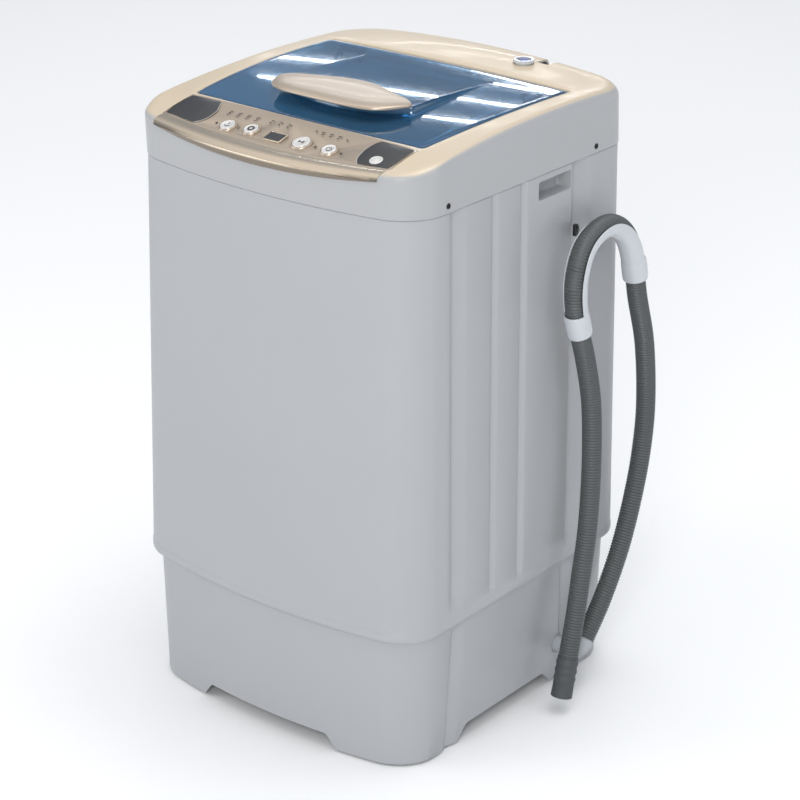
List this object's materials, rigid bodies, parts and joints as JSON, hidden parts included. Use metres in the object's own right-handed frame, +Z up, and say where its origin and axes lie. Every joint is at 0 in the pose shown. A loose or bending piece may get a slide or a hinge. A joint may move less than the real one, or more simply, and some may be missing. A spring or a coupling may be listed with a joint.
{
  "type": "top load washing machine",
  "caption": "Compact top load washing machine with a clear hinged lid, sloping control panel, suspended tub with spinning basket and pulsator, and a hooked drain hose.",
  "frame": {"origin": "at floor level under the middle of the casing's footprint", "axes": "+Z up, -Y is the front with the control panel, +X is the side with the drain hose"},
  "size_m": [0.4799, 0.4558, 0.7529],
  "materials": {
    "casing_white": "fine satin, light cool grey white",
    "cover_beige": "glossy beige on the deck, light grey on the sides",
    "champagne": "pearl champagne",
    "trim_metal": "bright champagne metal look",
    "inlay_black": "dark charcoal",
    "button_white": "silver white",
    "lid_blue": "clear deep blue, polished",
    "handle_champagne": "pearl champagne",
    "black_plastic": "moulded black",
    "screw_black": "black oxide",
    "inner_grey": "moulded grey",
    "part_white": "moulded off-white",
    "hose_grey": "flexible corrugated dark grey",
    "filter_blue": "moulded blue",
    "board_green": "coated circuit board",
    "steel": "bright steel",
    "cast_iron": "cast, dark",
    "motor_black": "black lacquer",
    "rubber": "black rubber"
  },
  "bodies": {
    "casing": {"cabinet": "casing_white", "control_board": "board_green", "control_panel": "champagne", "cover_screw_1": "screw_black", "cover_screw_2": "screw_black", "cover_screw_3": "screw_black", "cover_screw_4": "screw_black", "display_window": "inlay_black", "drain_hose": "hose_grey", "drain_outlet": "inner_grey", "foot_pad_1": "rubber", "foot_pad_2": "rubber", "foot_pad_3": "rubber", "foot_pad_4": "rubber", "front_trim": "trim_metal", "hinge_pin_left": "steel", "hinge_pin_right": "steel", "hose_clip": "black_plastic", "hose_cuff": "hose_grey", "hose_hook": "part_white", "inlet_filter": "filter_blue", "inlet_port": "part_white", "inlet_valve": "inner_grey", "left_inlay": "inlay_black", "lid_switch": "black_plastic", "motor_capacitor": "black_plastic", "plinth": "casing_white", "power_gland": "black_plastic", "rear_cover": "casing_white", "right_inlay": "inlay_black", "suspension_rod_1": "steel", "suspension_rod_2": "steel", "suspension_rod_3": "steel", "suspension_rod_4": "steel", "suspension_spring_1": "steel", "suspension_spring_2": "steel", "suspension_spring_3": "steel", "suspension_spring_4": "steel", "top_cover": "cover_beige", "water_level_sensor": "part_white"},
    "lid": {"lid": "lid_blue", "lid_handle": "handle_champagne"},
    "tub_unit": {"outer_tub": "inner_grey", "tub_ring": "part_white", "motor": "motor_black", "clutch_housing": "cast_iron", "drain_valve": "inner_grey", "drive_belt": "rubber"},
    "basket": {"spin_basket": "steel", "balance_ring": "part_white"},
    "pulsator_drive": {"pulsator": "part_white", "pulsator_screw": "steel", "drive_shaft": "steel", "driven_pulley": "cast_iron"},
    "motor_rotor": {"motor_pulley": "steel"},
    "power_button_body": {"power_button": "button_white"},
    "start_button_body": {"start_button": "button_white"},
    "program_button_body": {"program_button": "button_white"},
    "water_level_button_body": {"water_level_button": "button_white"}
  },
  "joints": [
    {"name": "lid_hinge", "type": "hinge", "parent": "casing", "child": "lid", "pos_m": [0, 0.119, 0.7335], "axis": [-1, 0, 0], "range_deg": [0, 95]},
    {"name": "tub_suspension", "type": "slide", "parent": "casing", "child": "tub_unit", "axis": [0, 0, 1], "range_m": [-0.01, 0.01], "stiffness_N_per_m": 9000, "springref_m": 0.01389, "deforming": ["suspension_spring_1", "suspension_spring_2", "suspension_spring_3", "suspension_spring_4"]},
    {"name": "basket_spin", "type": "hinge", "parent": "tub_unit", "child": "basket", "pos_m": [0, 0, 0.43], "axis": [0, 0, 1], "continuous": true},
    {"name": "pulsator_spin", "type": "hinge", "parent": "tub_unit", "child": "pulsator_drive", "pos_m": [0, 0, 0.27], "axis": [0, 0, 1], "continuous": true},
    {"name": "motor_spin", "type": "hinge", "parent": "tub_unit", "child": "motor_rotor", "pos_m": [-0.085, -0.078, 0.155], "axis": [0, 0, 1], "continuous": true},
    {"name": "power_button_press", "type": "slide", "parent": "casing", "child": "power_button_body", "axis": [0, 0, -1], "range_m": [0, 0.0015], "stiffness_N_per_m": 250, "springref_m": -0.0012},
    {"name": "start_button_press", "type": "slide", "parent": "casing", "child": "start_button_body", "axis": [0, 0, -1], "range_m": [0, 0.0015], "stiffness_N_per_m": 250, "springref_m": -0.0012},
    {"name": "program_button_press", "type": "slide", "parent": "casing", "child": "program_button_body", "axis": [0, 0, -1], "range_m": [0, 0.0015], "stiffness_N_per_m": 250, "springref_m": -0.0012},
    {"name": "water_level_button_press", "type": "slide", "parent": "casing", "child": "water_level_button_body", "axis": [0, 0, -1], "range_m": [0, 0.0015], "stiffness_N_per_m": 250, "springref_m": -0.0012}
  ],
  "couplings": [
    {"joint": "motor_spin", "follows": "pulsator_spin", "ratio": 5}
  ]
}
